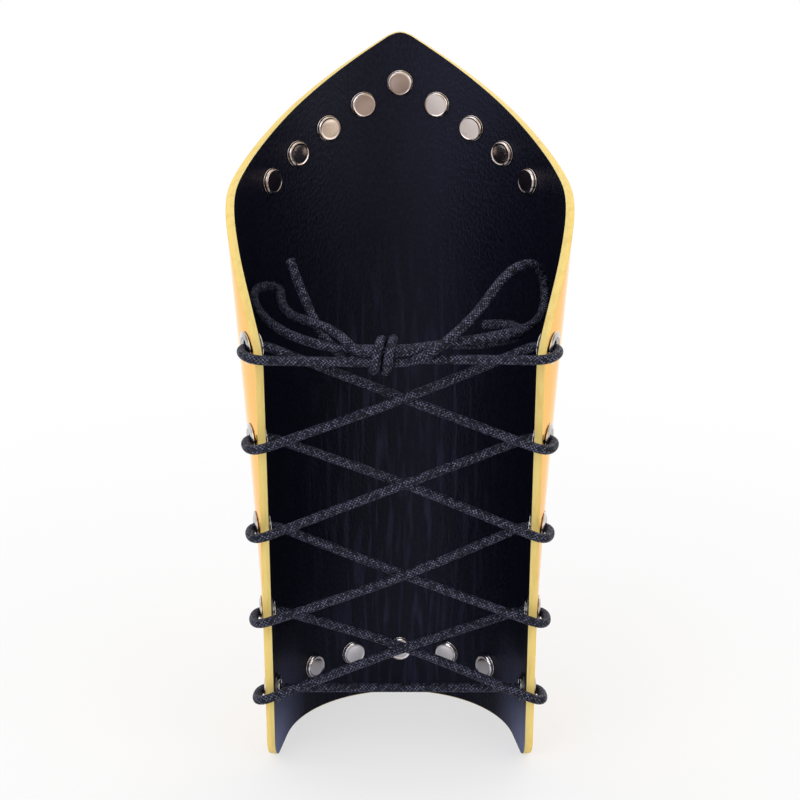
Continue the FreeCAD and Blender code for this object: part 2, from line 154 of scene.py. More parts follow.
def seat_frame(arc, z, off=0.0):
    """Local Z along the outward normal and local X towards the near flank edge."""
    normal = outward(arc / half_width(z), rise(z))
    side = 1 if arc >= 0 else -1
    along = rolled(arc + side * BOARD, z) - rolled(arc, z)
    across = normal.cross(along).normalized()
    along = across.cross(normal)
    turn = Matrix((along, across, normal)).transposed().to_4x4()
    return Matrix.Translation(rolled(arc, z, off)) @ turn


def seat_lift(arc, z, radius, off, inward):
    """How far a flat disc stands off the curved face so that only its highest points touch."""
    base = seat_frame(arc, z, off).inverted()
    stretch = WRIST_RADIUS / (WRIST_RADIUS + off)
    lift = 0.0
    for step in range(SEAT_PLACES):
        angle = 2 * math.pi * step / SEAT_PLACES
        spot = rolled(arc + radius * math.cos(angle) * stretch, z + radius * math.sin(angle), off)
        level = (base @ spot).z
        lift = max(lift, -level if inward else level)
    return lift


# Outline of the flat pattern, as shares of the half width at the shoulder and of the drop from the
# peak to the shoulder; from the flank's start the edge is straight down to the rounded wrist corner.
SLOPE_SHARES = [
    (0.0, 0.0), (0.029, 0.010), (0.060, 0.034), (0.169, 0.121), (0.319, 0.242), (0.473, 0.363),
    (0.599, 0.443), (0.724, 0.505), (0.811, 0.585), (0.881, 0.700), (0.932, 0.800), (0.961, 0.875),
    (0.980, 0.935), (0.990, 0.990), (0.9907, 1.030)]
FLANK_START_SHARE = 1.07
FLANK_LEAD = 10 * MM
OUTLINE_STEP = 1.6 * MM
CORNER_STEPS = 10
EDGE_ROUND = 0.28 * MM
EDGE_SEGMENTS = 3
CUT_ACROSS = 2.0 * MM
CUT_UP = 4.0 * MM
SHEET_SMOOTHING = math.radians(35)


def outline_corners():
    """Right half of the outline, from the peak down to the flank's start."""
    drop = HEIGHT - SHOULDER
    reach = half_width(SHOULDER)
    corners = [Vector((x * reach, HEIGHT - y * drop)) for x, y in SLOPE_SHARES]
    start = HEIGHT - FLANK_START_SHARE * drop
    return corners + [Vector((half_width(start), start))]


def smooth_between(before, near, far, after, share):
    """Point on the smooth curve through near and far, guided by their neighbours."""
    lead = (far - before) / 2
    trail = (after - near) / 2
    square, cube = share ** 2, share ** 3
    return (
        near * (2 * cube - 3 * square + 1) + lead * (cube - 2 * square + share)
        + far * (3 * square - 2 * cube) + trail * (cube - square))


def pattern_edge(foot):
    """Right edge of the flat pattern, from the peak down to the foot."""
    corners = outline_corners()
    low = corners[-1] - Vector((0.0, FLANK_LEAD))
    chain = [Vector((-corners[1].x, corners[1].y))] + corners + [Vector((half_width(low.y), low.y))]
    edge = []
    for index in range(1, len(chain) - 2):
        before, near, far, after = chain[index - 1:index + 3]
        count = max(2, round((far - near).length / OUTLINE_STEP))
        for step in range(count):
            edge.append(smooth_between(before, near, far, after, step / count))
    edge.append(corners[-1])
    last = math.asin(1 - foot / WRIST_CORNER)
    for step in range(CORNER_STEPS + 1):
        angle = last * step / CORNER_STEPS
        z = WRIST_CORNER * (1 - math.sin(angle))
        edge.append(Vector((half_width(z) - WRIST_CORNER * (1 - math.cos(angle)), z)))
    return edge


def only(piece):
    bpy.ops.object.select_all(action="DESELECT")
    piece.select_set(True)
    bpy.context.view_layer.objects.active = piece


def apply_modifier(piece, name):
    only(piece)
    bpy.ops.object.modifier_apply(modifier=name)


def flat_blank(name, thickness, foot, front_edge):
    """The pattern cut flat from one layer, its free rim rounded and painted."""
    edge = pattern_edge(foot)
    outline = edge + [Vector((-spot.x, spot.y)) for spot in reversed(edge[1:])]
    bpy.ops.object.select_all(action="DESELECT")
    bpy.ops.mesh.primitive_circle_add(vertices=len(outline), radius=HEIGHT, fill_type="NGON")
    blank = bpy.context.object
    blank.name = name
    for vertex, spot in zip(blank.data.vertices, outline):
        vertex.co = (spot.x, spot.y, 0.0)
    bpy.ops.object.mode_set(mode="EDIT")
    bpy.ops.mesh.select_mode(type="FACE")
    bpy.ops.mesh.select_all(action="SELECT")
    bpy.ops.mesh.extrude_region_move(TRANSFORM_OT_translate={"value": (0.0, 0.0, -thickness)})
    bpy.ops.mesh.select_all(action="SELECT")
    bpy.ops.mesh.normals_make_consistent(inside=False)
    bpy.ops.mesh.select_mode(type="EDGE")
    bpy.ops.mesh.select_all(action="DESELECT")
    bpy.ops.object.mode_set(mode="OBJECT")
    level = 0.0 if front_edge else -thickness
    for face in blank.data.polygons:
        face.material_index = 0 if abs(face.normal.z) > 0.5 else 1
    for line in blank.data.edges:
        line.select = all(abs(blank.data.vertices[i].co.z - level) < CLOSE for i in line.vertices)
    bpy.ops.object.mode_set(mode="EDIT")
    bpy.ops.mesh.bevel(offset=EDGE_ROUND, segments=EDGE_SEGMENTS, affect="EDGES", material=1)
    bpy.ops.object.mode_set(mode="OBJECT")
    return blank


def cut_finely(piece):
    """Lines across and up the flat layer, so that it can follow the roll."""
    bpy.ops.object.mode_set(mode="EDIT")
    across = math.ceil(PEAK_HALF / CUT_ACROSS)
    for step in range(-across, across + 1):
        bpy.ops.mesh.select_all(action="SELECT")
        bpy.ops.mesh.bisect(plane_co=(step * CUT_ACROSS, 0.0, 0.0), plane_no=(1.0, 0.0, 0.0))
    for step in range(1, math.floor(HEIGHT / CUT_UP)):
        bpy.ops.mesh.select_all(action="SELECT")
        bpy.ops.mesh.bisect(plane_co=(0.0, step * CUT_UP, 0.0), plane_no=(0.0, 1.0, 0.0))
    bpy.ops.object.mode_set(mode="OBJECT")


def roll_up(piece, off, foot):
    """Maps the flat layer in metres, then rolls it; its foot stays level."""
    layer = piece.data.uv_layers.new(name="flat_map")
    for loop in piece.data.loops:
        layer.data[loop.index].uv = piece.data.vertices[loop.vertex_index].co.xy
    for vertex in piece.data.vertices:
        arc, z, depth = vertex.co
        vertex.co = rolled(arc, z, off + depth) + SETBACK
        if z < foot + CLOSE:
            vertex.co.z = foot


def rolled_sheet(name, off, thickness, foot, front_edge, looks):
    """One layer, pierced and cut flat as on the bench, then rolled to shape."""
    piece = flat_blank(name, thickness, foot, front_edge)
    for look in looks:
        piece.data.materials.append(look)
    pierce(piece)
    cut_finely(piece)
    roll_up(piece, off, foot)
    bpy.ops.object.shade_smooth_by_angle(angle=SHEET_SMOOTHING)
    piece.modifiers.new("even_normals", "WEIGHTED_NORMAL").keep_sharp = True
    apply_modifier(piece, "even_normals")
    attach(piece, "root")
    return piece


# Rivets and eyelets on the flat pattern
RIVET_FALL_SHARE = 0.082
ELBOW_SIDE_COUNT = 4
WRIST_SIDE_COUNT = 2
ELBOW_INSET = 17.5 * MM
ELBOW_STEP = 13.6 * MM
WRIST_RIVET_HEIGHT = 17.5 * MM
WRIST_STEP = 19.3 * MM
EYELET_BASE = 26.5 * MM
EYELET_PITCH = 31.5 * MM
EYELET_INSET = 8.2 * MM
EYELET_COUNT = 5
SIDES = [("right", 1), ("left", -1)]
DRILL_SIDES = 40


def place_name(step):
    if step == 0:
        return "middle"
    return f"{'right' if step > 0 else 'left'}_{abs(step)}"


def eyelet_height(index):
    """One pitch up to the second eyelet, then even steps to the last one at the shoulder."""
    if index == 0:
        return EYELET_BASE
    second = EYELET_BASE + EYELET_PITCH
    return second + (index - 1) * (SHOULDER - second) / (EYELET_COUNT - 2)


def eyelet_arc(side, z):
    return side * (half_width(z) - EYELET_INSET)


def rivet_places():
    fall = (HEIGHT - SHOULDER) * RIVET_FALL_SHARE
    places = []
    for step in range(-ELBOW_SIDE_COUNT, ELBOW_SIDE_COUNT + 1):
        z = HEIGHT - ELBOW_INSET - abs(step) * fall
        places.append((f"elbow_rivet_{place_name(step)}", step * ELBOW_STEP, z))
    for step in range(-WRIST_SIDE_COUNT, WRIST_SIDE_COUNT + 1):
        places.append((f"wrist_rivet_{place_name(step)}", step * WRIST_STEP, WRIST_RIVET_HEIGHT))
    return places


def eyelet_places():
    places = []
    for side_name, side in SIDES:
        for index in range(EYELET_COUNT):
            z = eyelet_height(index)
            places.append((f"{side_name}_{index + 1}", eyelet_arc(side, z), z))
    return places


rivets = rivet_places()
eyelets = eyelet_places()


def pierce(piece):
    """Punches the flat layer for every post and barrel."""
    drills = []
    for group, radius in ((rivets, POST + FIT), (eyelets, BARREL + FIT)):
        for label, arc, z in group:
            bpy.ops.object.select_all(action="DESELECT")
            bpy.ops.mesh.primitive_cylinder_add(
                vertices=DRILL_SIDES, radius=radius, depth=4 * WALL, location=(arc, z, 0.0))
            drills.append(bpy.context.object)
    bpy.ops.object.select_all(action="DESELECT")
    for drill in drills:
        drill.select_set(True)
    bpy.context.view_layer.objects.active = drills[0]
    bpy.ops.object.join()
    cut = piece.modifiers.new("holes", "BOOLEAN")
    cut.operation = "DIFFERENCE"
    cut.solver = "EXACT"
    cut.object = drills[0]
    apply_modifier(piece, "holes")
    bpy.data.objects.remove(drills[0])
    only(piece)


# Turned pieces
CAP_SIDES = 56
EYELET_SIDES = 48
TURNED_SMOOTHING = math.radians(40)
FLIP = Matrix.Rotation(math.pi, 4, "X")


def corner_arc(centre, radius, start, end, count):
    """Places on a rounded corner, as (radius, level) pairs; angles are in degrees."""
    places = []
    for step in range(count + 1):
        angle = math.radians(start + (end - start) * step / count)
        places.append((centre[0] + radius * math.cos(angle), centre[1] + radius * math.sin(angle)))
    return places


def lathe(name, outline, sides):
    """Draws half a profile point by point and spins it about the upright axis."""
    bpy.ops.object.select_all(action="DESELECT")
    bpy.ops.mesh.primitive_plane_add(size=MM)
    piece = bpy.context.object
    piece.name = name
    bpy.ops.object.mode_set(mode="EDIT")
    bpy.ops.mesh.select_mode(type="VERT")
    bpy.ops.mesh.select_all(action="SELECT")
    bpy.ops.mesh.merge(type="CENTER")
    bpy.ops.transform.translate(value=(outline[0][0], 0.0, outline[0][1]))
    for near, far in zip(outline, outline[1:]):
        move = (far[0] - near[0], 0.0, far[1] - near[1])
        bpy.ops.mesh.extrude_vertices_move(TRANSFORM_OT_translate={"value": move})
    bpy.ops.mesh.select_all(action="SELECT")
    bpy.ops.mesh.spin(steps=sides, angle=2 * math.pi, center=(0, 0, 0), axis=(0, 0, 1))
    bpy.ops.mesh.select_all(action="SELECT")
    bpy.ops.mesh.remove_doubles(threshold=WELD)
    bpy.ops.mesh.normals_make_consistent(inside=False)
    bpy.ops.object.mode_set(mode="OBJECT")
    bpy.ops.object.shade_smooth_by_angle(angle=TURNED_SMOOTHING)
    return piece


def cap_side():
    """Slim rolled bead where a cap meets the wall, and its upright side."""
    bead = corner_arc((CAP - CAP_BEAD, CAP_BEAD), CAP_BEAD, -60, 75, 5)
    return [(CAP - CAP_BEAD / 2, 0.0)] + bead + [(CAP_SIDE, 2 * CAP_BEAD)]


def cap_crown(radius, level, steps):
    """Shallow dome from the given radius and level to the middle of the cap."""
    crown = CAP_EDGE + CAP_DOME
    places = []
    for step in range(steps):
        share = 1 - step / steps
        places.append((radius * share, level + (crown - level) * (1 - share ** 2)))
    places.append((0.0, crown))
    return places


def outer_cap_outline():
    """Dome that rolls over into its side, on a hollow post."""
    face = CAP_SIDE - CAP_SHOULDER
    shoulder = corner_arc((face, CAP_EDGE - CAP_SHOULDER), CAP_SHOULDER, 4, 74, 8)
    radius, level = shoulder[-1]
    crown = cap_crown(radius - CROWN_INSET, level + CROWN_LIFT, 10)
    post = [(0.0, 0.0), (BORE, 0.0), (BORE, -WALL), (POST, -WALL), (POST, 0.0)]
    return post + cap_side() + shoulder + crown


def inner_cap_outline():
    """Flat face inside a round rim, on a solid pin."""
    face = CAP_SIDE - CAP_RIM
    level = CAP_EDGE + CAP_DOME - FACE_DOME
    shoulder = corner_arc((face, level - CAP_SHOULDER), CAP_RIM, 4, 66, 8)
    pin = [(0.0, -WALL / 2), (PIN, -WALL / 2), (PIN, 0.0)]
    return pin + cap_side() + shoulder + cap_crown(face + FACE_LAP, level, 8)


def eyelet_outline():
    """Closed section: a rolled flange outside, the barrel, and a lip curled over the washer."""
    grip = -(WALL + SEAT_ALLOWANCE + WASHER_HEIGHT)
    roll = (FLANGE_HEIGHT - EASE) / 2
    edge = FLANGE - FLANGE_EDGE
    places = [(BARREL, grip), (BARREL, 0.0), (edge - EASE, 0.0)]
    places += corner_arc((edge, FLANGE_EDGE), FLANGE_EDGE, -60, 60, 4)
    places += corner_arc((EYE + 2 * roll, FLANGE_HEIGHT - roll), roll, 80, 180, 7)
    curl = LIP_HEIGHT / 2
    places += [(EYE, 0.0), (EYE, grip - curl)]
    places += corner_arc((EYE + curl, grip - curl), curl, 190, 270, 4)
    places += corner_arc((LIP - curl, grip - curl), curl, 270, 445, 6)
    return places + [(BARREL, grip)]


def washer_outline():
    """Flat ring, eased at its foot and rounded at its outer top edge."""
    inside = BARREL + FIT
    ease = WASHER_EDGE / 2
    top = (WASHER - WASHER_EDGE, WASHER_HEIGHT - WASHER_EDGE)
    places = [(inside, 0.0), (WASHER - ease, 0.0), (WASHER, ease)]
    places += corner_arc(top, WASHER_EDGE, 0, 90, 4)
    return places + [(inside, WASHER_HEIGHT), (inside, 0.0)]


def set_copies(model, places, look):
    """A copy of the turned model at every place, each with its own mesh."""
    model.data.materials.append(look)
    for name, node, matrix in places:
        copy = model.copy()
        copy.data = model.data.copy()
        copy.name = name
        scene.collection.objects.link(copy)
        copy.data.transform(Matrix.Translation(SETBACK) @ matrix)
        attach(copy, "root")
        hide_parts(node)
    bpy.data.objects.remove(model)


def make_rivets(row, outer_look, inner_look):
    """Outer cap and inner cap of every rivet in one row."""
    fronts, backs = [], []
    for name, arc, z in rivets:
        if name.startswith(row):
            lift = seat_lift(arc, z, CAP, 0.0, False)
            fronts.append((f"outer_cap_{name}", f"{name}_cap", seat_frame(arc, z, lift)))
            lift = seat_lift(arc, z, CAP, -WALL, True)
            matrix = seat_frame(arc, z, -WALL - lift) @ FLIP
            backs.append((f"inner_cap_{name}", f"{name}_back", matrix))
    set_copies(lathe("outer_cap", outer_cap_outline(), CAP_SIDES), fronts, outer_look)
    set_copies(lathe("inner_cap", inner_cap_outline(), CAP_SIDES), backs, inner_look)


def make_eyelets(look, washer_look):
    """Every eyelet, and the washer that its lip grips inside the guard."""
    rings, washers = [], []
    for name, arc, z in eyelets:
        lift = seat_lift(arc, z, FLANGE, 0.0, False)
        rings.append((f"rolled_eyelet_{name}", f"eyelet_{name}", seat_frame(arc, z, lift)))
        lift = seat_lift(arc, z, WASHER, -WALL, True)
        matrix = seat_frame(arc, z, -WALL - lift) @ FLIP
        washers.append((f"rolled_washer_{name}", f"eyelet_washer_{name}", matrix))
    eyelet = lathe("rolled_eyelet", eyelet_outline(), EYELET_SIDES)
    washer = lathe("rolled_washer", washer_outline(), EYELET_SIDES)
    set_copies(eyelet, rings, look)
    set_copies(washer, washers, washer_look)


# Lace: the routes repeat the control points of the guard's own cord
SLACK_SHARES = [1.0, 0.0, 0.5, 0.0]
KNOT_ACROSS = 5.6 * MM
KNOT_SINK = 5.8 * MM
KNOT_DROOP = 0.4 * MM
STRAND_GAP = 0.1 * MM
TURN_GAP = 0.6 * MM
EXIT_RUN = 3.5 * MM
WRAP_SHARES = [
    (-0.10, -0.5, 1), (0.15, 1, 1), (0.55, 1, -1), (0.70, -1, -1), (0.85, -1, 1), (1.15, 1, 1),
    (1.55, 1, -1), (1.75, -0.5, -1)]

# Free stretches of the bow as they hang in the guard, in millimetres from the middle of the knot
RIGHT_LOOP = [
    (12.9, -2.0, 5.7), (18.4, -7.2, 7.3), (24.4, -13.4, 7.4), (29.4, -19.6, 7.0),
    (32.4, -25.2, 7.4), (33.9, -30.2, 8.2), (34.6, -34.8, 9.3), (34.8, -39.0, 10.3),
    (37.3, -41.5, 10.9), (40.9, -41.5, 10.9), (43.4, -39.0, 10.3), (43.7, -34.4, 9.4),
    (42.7, -28.6, 8.1), (40.0, -22.0, 6.4), (35.6, -15.6, 4.8), (30.2, -10.6, 3.5),
    (23.8, -6.4, 2.5), (17.0, -3.2, 1.9)]
RIGHT_TAIL = [
    (13.6, -5.6, -1.6), (17.8, -10.4, 0.8), (21.2, -15.6, 4.0), (24.0, -20.0, 8.6),
    (26.6, -22.8, 14.2), (29.0, -23.8, 20.2), (30.6, -23.8, 25.4)]
LEFT_LOOP = [
    (-13.6, 4.2, 1.2), (-20.0, 2.4, 5.2), (-26.0, -2.0, 9.2), (-31.4, -7.6, 13.2),
    (-35.8, -13.6, 17.6), (-40.4, -19.4, 21.6), (-45.6, -24.0, 23.8), (-50.4, -28.0, 22.6),
    (-53.2, -31.0, 18.2), (-54.2, -30.6, 12.6), (-53.6, -25.8, 8.4), (-51.6, -19.6, 6.0),
    (-47.4, -13.8, 5.0), (-41.4, -9.0, 4.8), (-34.0, -5.4, 4.5), (-26.0, -2.6, 4.1),
    (-17.8, -0.2, 3.4)]
LEFT_TAIL = [
    (-15.6, -4.4, 2.0), (-23.6, -7.2, 1.4), (-31.2, -9.6, 0.6), (-38.4, -14.0, 0.2),
    (-44.2, -19.6, -0.1), (-46.6, -26.4, -0.3), (-44.6, -32.8, -0.4), (-39.6, -36.8, -0.9),
    (-34.0, -38.8, -2.0)]

LINE_STEPS = 12
CARRIERS = 8
TURN_LENGTH = 9.6 * MM
BRAID_RELIEF = 0.09 * MM
LACE_AROUND = 24
LACE_STEP = 0.4 * MM

# On the long diagonals the lace is straight up to these distances from a flank edge or an eyelet
EDGE_STRAIGHT = 12.2 * MM
EYELET_STRAIGHT = 8.6 * MM


def eyelet_pass(side, index):
    """Through an eyelet from the inside, back towards the flank edge and past it."""
    z = eyelet_height(index)
    arc = eyelet_arc(side, z)
    inside = rolled(arc, z, -WALL - LACE_ENTRY)
    outside = rolled(arc, z, FLANGE_HEIGHT + LACE / 2 + LACE_CLEARANCE)
    along = seat_frame(arc, z).to_3x3() @ Vector((1, 0, 0))
    return [inside, outside, outside + along * (EYELET_INSET + LACE_REACH)]


def crossing(low_side, index):
    """Where the climbing lace passes over or under the other one, in the middle of the opening."""
    over = 1 if low_side > 0 else -1
    middle = (eyelet_pass(low_side, index)[2] + eyelet_pass(-low_side, index + 1)[0]) / 2
    middle.x = 0.0
    middle.z += LACE_SLACK * SLACK_SHARES[index]
    middle.y += over * (LACE + LACE_CLEARANCE) / 2
    return middle


def towards(start, end, run):
    """Point at a given run from the start on the way to the end."""
    return start + (end - start).normalized() * run


def climbing_lace(side):
    """One half of the lacing, from the lowest eyelet of a side up to the last one."""
    points = []
    for index in range(EYELET_COUNT):
        inside, outside, beyond = eyelet_pass(side, index)
        if index > 0:
            points.append(towards(inside, points[-1], EYELET_STRAIGHT))
        points += [inside, outside, beyond]
        if index < EYELET_COUNT - 1:
            middle = crossing(side, index)
            points.append(towards(beyond, middle, EDGE_STRAIGHT))
            points.append(middle)
            side = -side
    return points


strand_half = (LACE + STRAND_GAP) / 2
wrap_half = strand_half + LACE + STRAND_GAP
turn_pitch = LACE + TURN_GAP
wrap_middle = (WRAP_SHARES[0][0] + WRAP_SHARES[-1][0]) / 2
knot_half = (WRAP_SHARES[-1][0] - wrap_middle) * turn_pitch + LACE / 2
top_anchor = eyelet_pass(1, EYELET_COUNT - 1)[2]
knot_centre = Vector((KNOT_ACROSS, top_anchor.y - KNOT_SINK, top_anchor.z - KNOT_DROOP))


def knot_port(side, front, top):
    """Where one of the four strands enters the knot's turns."""
    return knot_centre + Vector((side * knot_half, front * strand_half, top * strand_half))


def knot_exit(side, front, top):
    port = knot_port(side, front, top)
    return [port, port + Vector((side * EXIT_RUN, 0, 0))]


def hanging(route):
    return [knot_centre + Vector(place) * MM for place in route]


def loop_route(leaving, route, returning):
    return leaving + hanging(route) + list(reversed(returning))


def lacing_route():
    """From the knot down through all the eyelets and back up to the knot."""
    left = climbing_lace(-1)
    right = climbing_lace(1)
    points = knot_exit(-1, -1, -1)
    points.append(towards(left[-1], points[-1], EDGE_STRAIGHT))
    points += list(reversed(left)) + right
    end = list(reversed(knot_exit(1, 1, -1)))
    points.append(towards(right[-1], end[0], EDGE_STRAIGHT))
    return points + end


def knot_routes():
    """The turns wound round the bow, and the four strands inside them."""
    turns = []
    for along, front, top in WRAP_SHARES:
        across = (along - wrap_middle) * turn_pitch
        turns.append(knot_centre + Vector((across, front * wrap_half, top * wrap_half)))
    routes = [turns]
    for front in (1, -1):
        for top in (1, -1):
            routes.append([knot_port(-1, front, top), knot_port(1, front, top)])
    return routes


def spline_points(route):
    """Points along the smooth curve that has the route as its control points."""
    data = bpy.data.curves.new("lace_line", "CURVE")
    data.dimensions = "3D"
    spline = data.splines.new("NURBS")
    spline.points.add(len(route) - 1)
    for point, place in zip(spline.points, route):
        point.co = (*(place + SETBACK), 1.0)
    spline.order_u = 3
    spline.use_endpoint_u = True
    spline.resolution_u = LINE_STEPS
    carrier = bpy.data.objects.new("lace_line", data)
    scene.collection.objects.link(carrier)
    bpy.context.view_layer.update()
    mesh = bpy.data.meshes.new_from_object(carrier)
    points = [vertex.co.copy() for vertex in mesh.vertices]
    bpy.data.objects.remove(carrier)
    bpy.data.curves.remove(data)
    bpy.data.meshes.remove(mesh)
    return points


def even_points(points, step):
    """The same line with its points an even step apart."""
    spots = [points[0]]
    reach = 0.0
    for start, end in zip(points, points[1:]):
        run = (end - start).length
        while run > 0 and reach + run >= step:
            start = start.lerp(end, (step - reach) / run)
            spots.append(start)
            run = (end - start).length
            reach = 0.0
        reach += run
    if (spots[-1] - points[-1]).length > step / 2:
        spots.append(points[-1])
    else:
        spots[-1] = points[-1]
    return spots


def braid_height(around, along):
    """Relief of two families of strands that cross, from 0 in a groove to 1 on a crown."""
    turns = along / TURN_LENGTH
    heights = []
    for line in ((around + turns) * CARRIERS, (around - turns) * CARRIERS):
        heights.append(1 - (2 * (line % 1.0) - 1) ** 2)
    return max(heights)


def tube_rings(line, verts):
    """Adds a ring of braid at every point of the line and returns how far along each ring lies."""
    side = (line[1] - line[0]).orthogonal().normalized()
    travelled = 0.0
    lengths = []
    for index, spot in enumerate(line):
        before = line[max(index - 1, 0)]
        after = line[min(index + 1, len(line) - 1)]
        ahead = (after - before).normalized()
        side = (side - ahead * side.dot(ahead)).normalized()
        across = ahead.cross(side)
        travelled += (spot - before).length
        lengths.append(travelled)
        for step in range(LACE_AROUND):
            angle = 2 * math.pi * step / LACE_AROUND
            relief = BRAID_RELIEF * (braid_height(step / LACE_AROUND, travelled) - 1)
            out = side * math.cos(angle) + across * math.sin(angle)
            verts.append(spot + out * (LACE / 2 + relief))
    return lengths


def tube_wall(base, lengths, faces, maps):
    """Adds the faces between neighbouring rings, with their map."""
    for ring, (low, high) in enumerate(zip(lengths, lengths[1:])):
        near = base + ring * LACE_AROUND
        far = near + LACE_AROUND
        for step in range(LACE_AROUND):
            following = (step + 1) % LACE_AROUND
            faces.append((near + step, near + following, far + following, far + step))
            left, right = step / LACE_AROUND, (step + 1) / LACE_AROUND
            maps.append(((left, low), (right, low), (right, high), (left, high)))


def tube_end(rim, end, neighbour, length, first, verts, faces, maps):
    """Closes one end with a low point past the line's own end."""
    centre = len(verts)
    verts.append(end + (end - neighbour).normalized() * LACE_END)
    for step in range(LACE_AROUND):
        pair = (rim + step, rim + (step + 1) % LACE_AROUND)
        faces.append((pair[1], pair[0], centre) if first else (*pair, centre))
        maps.append(((step / LACE_AROUND, length),) * 3)


def cord_mesh(name, lines):
    """Round tubes along the lines, with closed ends and a map in turns around and metres along."""
    verts, faces, maps = [], [], []
    for line in lines:
        base = len(verts)
        lengths = tube_rings(line, verts)
        last = base + (len(line) - 1) * LACE_AROUND
        tube_wall(base, lengths, faces, maps)
        tube_end(base, line[0], line[1], lengths[0], True, verts, faces, maps)
        tube_end(last, line[-1], line[-2], lengths[-1], False, verts, faces, maps)
    mesh = bpy.data.meshes.new(name)
    mesh.from_pydata(verts, [], faces)
    layer = mesh.uv_layers.new(name="braid_map")
    spots = [spot for corners in maps for spot in corners]
    for place, spot in zip(layer.data, spots):
        place.uv = spot
    mesh.shade_smooth()
    piece = bpy.data.objects.new(name, mesh)
    scene.collection.objects.link(piece)
    return piece


def lace_piece(name, routes, node, look):
    lines = [even_points(spline_points(route), LACE_STEP) for route in routes]
    piece = cord_mesh(name, lines)
    piece.data.materials.append(look)
    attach(piece, "root")
    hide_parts(node)
    return piece, lines


def make_lace(look):
    """Lacing and knot, and the bow's loops and tails, each a cord of its own."""
    lace_piece("cross_lacing", [lacing_route()], "lace_lacing", look)
    lace_piece("bow_knot", knot_routes(), "lace_knot", look)
    stretches = [
        ("bow_loop_right", "lace_loop_right", "object",
         loop_route(knot_exit(1, 1, 1), RIGHT_LOOP, knot_exit(1, -1, 1))),
        ("bow_tail_right", "lace_tail_right", "bare", knot_exit(1, -1, -1) + hanging(RIGHT_TAIL)),
        ("bow_loop_left", "lace_loop_left", "object",
         loop_route(knot_exit(-1, 1, -1), LEFT_LOOP, knot_exit(-1, 1, 1))),
        ("bow_tail_left", "lace_tail_left", "bare", knot_exit(-1, -1, 1) + hanging(LEFT_TAIL))]
    for name, node, far_end, route in stretches:
        piece, lines = lace_piece(name, [route], node, look)


# Shader helpers
class Graph:
    """Adds and links the nodes of one material, group or world."""

    def __init__(self, tree):
        self.tree = tree

    def node(self, kind, **values):
        node = self.tree.nodes.new("ShaderNode" + kind)
        for key, value in values.items():
            setattr(node, key, value)
        return node

    def link(self, source, target):
        self.tree.links.new(source, target)

    def feed(self, socket, value):
        if isinstance(value, (int, float, tuple)):
            socket.default_value = value
        else:
            self.link(value, socket)

    def math(self, operation, *values):
        node = self.node("Math", operation=operation)
        for socket, value in zip(node.inputs, values):
            self.feed(socket, value)
        return node.outputs[0]

    def vector(self, operation, *values, output=0):
        node = self.node("VectorMath", operation=operation)
        for socket, value in zip(node.inputs, values):
            self.feed(socket, value)
        return node.outputs[output]

    def split(self, vector):
        node = self.node("SeparateXYZ")
        self.link(vector, node.inputs[0])
        return node.outputs

    def spread(self, value, low, high, to_low=0.0, to_high=1.0):
        """Stretches the band from low to high over 0 to 1, and holds it beyond."""
        node = self.node("MapRange")
        self.link(value, node.inputs["Value"])
        for label, number in (
                ("From Min", low), ("From Max", high), ("To Min", to_low), ("To Max", to_high)):
            node.inputs[label].default_value = number
        return node.outputs[0]

    def ramp(self, factor, stops):
        node = self.node("ValToRGB")
        while len(node.color_ramp.elements) < len(stops):
            node.color_ramp.elements.new(0.5)
        for element, (place, shade) in zip(node.color_ramp.elements, stops):
            element.position = place
            element.color = (*shade, 1.0)
        self.link(factor, node.inputs[0])
        return node.outputs[0]

    def mix(self, factor, first, second):
        """Colour between first and second."""
        node = self.node("Mix", data_type="RGBA")
        for index, value in ((0, factor), (6, first), (7, second)):
            if isinstance(value, tuple) and len(value) == 3:
                value = (*value, 1.0)
            self.feed(node.inputs[index], value)
        return node.outputs[2]

    def blend(self, factor, low, high):
        """Number between low and high."""
        node = self.node("Mix", data_type="FLOAT")
        for index, value in ((0, factor), (2, low), (3, high)):
            self.feed(node.inputs[index], value)
        return node.outputs[0]

    def noise(self, place, scale, detail=3.0, roughness=0.5, distortion=0.0):
        node = self.node("TexNoise")
        self.link(place, node.inputs["Vector"])
        self.feed(node.inputs["Scale"], scale)
        node.inputs["Detail"].default_value = detail
        node.inputs["Roughness"].default_value = roughness
        node.inputs["Distortion"].default_value = distortion
        return node.outputs["Fac"]

    def bump(self, height, strength, distance):
        node = self.node("Bump")
        self.link(height, node.inputs["Height"])
        node.inputs["Strength"].default_value = strength
        node.inputs["Distance"].default_value = distance
        return node.outputs[0]

    def place(self):
        return self.node("TexCoord").outputs["Object"]

    def flat_map(self):
        return self.node("UVMap", uv_map="flat_map").outputs[0]


def new_group(name, inputs, outputs):
    tree = bpy.data.node_groups.new(name, "ShaderNodeTree")
    for label, kind, value in inputs:
        socket = tree.interface.new_socket(label, in_out="INPUT", socket_type="NodeSocket" + kind)
        if value is not None:
            socket.default_value = value
    for label in outputs:
        tree.interface.new_socket(label, in_out="OUTPUT", socket_type="NodeSocketFloat")
    start = tree.nodes.new("NodeGroupInput")
    end = tree.nodes.new("NodeGroupOutput")
    return tree, Graph(tree), start.outputs, end.inputs


def handling_group():
    """Faint finger smudges and fine dust, on Object coordinates."""
    tree, g, given, out = new_group(
        "handling_marks", [("Scale", "Float", 60.0), ("Amount", "Float", 0.5)], ["Smudge", "Dust"])
    place = g.place()
    broad = g.noise(place, given["Scale"], detail=5.0, roughness=0.6)
    smudge = g.spread(broad, 0.48, 0.72)
    g.link(g.math("MULTIPLY", smudge, given["Amount"]), out["Smudge"])
    speck = g.spread(g.noise(place, 1900.0, detail=1.0), 0.70, 0.78)
    g.link(g.math("MULTIPLY", speck, given["Amount"]), out["Dust"])
    return tree


